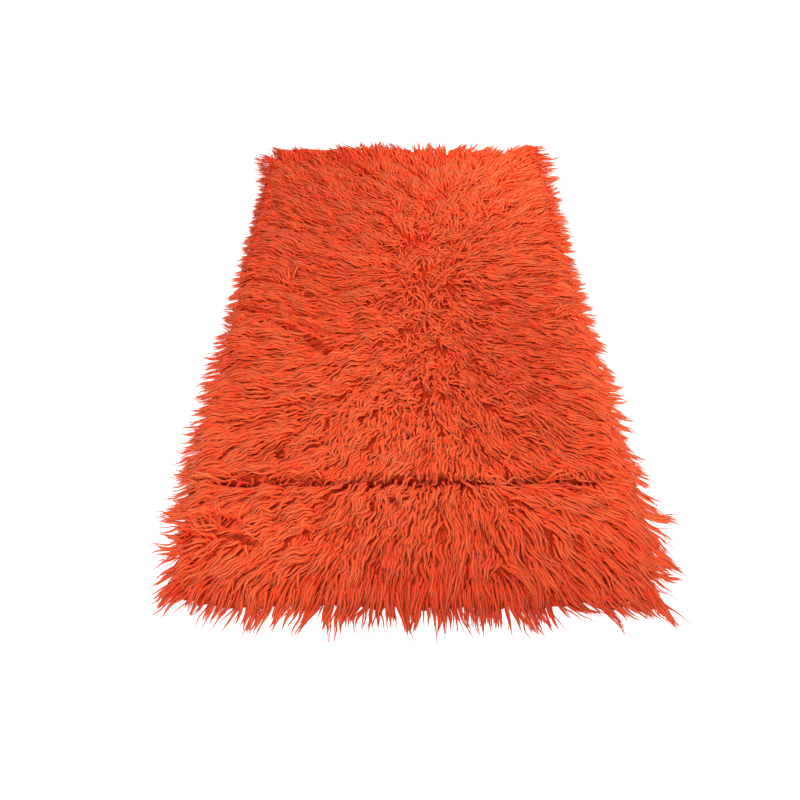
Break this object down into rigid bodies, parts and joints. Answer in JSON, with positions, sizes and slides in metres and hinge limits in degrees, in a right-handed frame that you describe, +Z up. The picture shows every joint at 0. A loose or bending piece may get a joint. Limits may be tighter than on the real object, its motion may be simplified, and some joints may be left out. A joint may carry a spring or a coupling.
{
  "type": "long-pile wool rug",
  "caption": "Rectangular flokati-style wool rug: a flat woven ground under thick, long, shaggy orange-red pile that lies down and spills over its edges.",
  "frame": {"origin": "middle of the flat underside, on the floor", "axes": "+Y along the rug's length towards its far end, +X across to the right, +Z up out of the pile"},
  "size_m": [1.0852, 1.7445, 0.0511],
  "materials": {
    "pile_wool": "thick, softly twisted orange-red wool yarn, matt with a faint sheen",
    "ground_weave": "plain-woven wool ground cloth, seen only from below"
  },
  "bodies": {
    "root": {"shag_rug": "pile_wool"}
  },
  "joints": []
}
